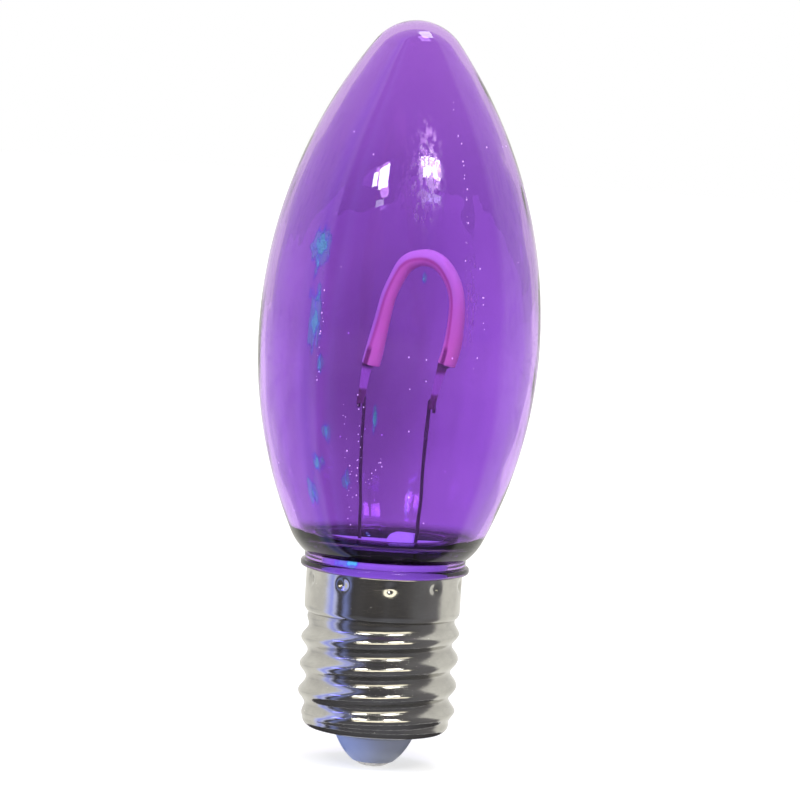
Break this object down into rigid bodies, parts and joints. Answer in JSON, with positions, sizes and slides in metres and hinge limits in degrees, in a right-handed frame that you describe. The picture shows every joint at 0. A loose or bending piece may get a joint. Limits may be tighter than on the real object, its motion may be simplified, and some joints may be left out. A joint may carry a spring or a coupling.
{
  "type": "christmas light bulb",
  "caption": "Candle-shaped string-light bulb: transparent purple globe, U-shaped light-emitting filament on two wires, driver board in a threaded metal screw base",
  "frame": {"origin": "lowest point of the centre contact, on the bulb's axis", "axes": "+Z along the axis from the centre contact to the globe's tip, -Y towards the viewer of the picture, +X to the viewer's right"},
  "size_m": [0.0294, 0.0294, 0.0781],
  "materials": {
    "globe": "clear tinted plastic, blown, smooth outside",
    "screw_shell": "bright nickel plate on rolled sheet",
    "base_insulator": "white moulded plastic",
    "centre_contact": "tinned rivet head",
    "stem_plug": "white moulded plastic",
    "clip_steel": "dark spring steel strip",
    "wire_steel": "drawn steel wire",
    "filament_coating": "translucent silicone",
    "filament_strip": "thin metal carrier strip",
    "led_chips": "sawn chips",
    "terminal_metal": "plated strip, folded",
    "driver_board": "white solder mask on glass-filled board",
    "moulded_case": "black moulded case",
    "capacitor_can": "sleeved can",
    "fuse_resistor": "lacquered body",
    "sense_resistors": "chip resistors with tinned ends",
    "shell_lead": "bare tinned copper wire",
    "solder": "solder"
  },
  "bodies": {
    "root": {"globe": "globe", "screw_shell": "screw_shell", "base_insulator": "base_insulator", "centre_contact": "centre_contact", "stem_plug": "stem_plug", "retaining_clip_left": "clip_steel", "retaining_clip_right": "clip_steel", "support_wire_left": "wire_steel", "support_wire_right": "wire_steel", "filament_coating": "filament_coating", "filament_strip": "filament_strip", "led_chips": "led_chips", "filament_terminal_left": "terminal_metal", "filament_terminal_right": "terminal_metal", "driver_board": "driver_board", "bridge_rectifier": "moulded_case", "driver_chip": "moulded_case", "smoothing_capacitor": "capacitor_can", "fuse_resistor": "fuse_resistor", "sense_resistors": "sense_resistors", "shell_lead": "shell_lead", "solder_joints": "solder"}
  },
  "joints": []
}
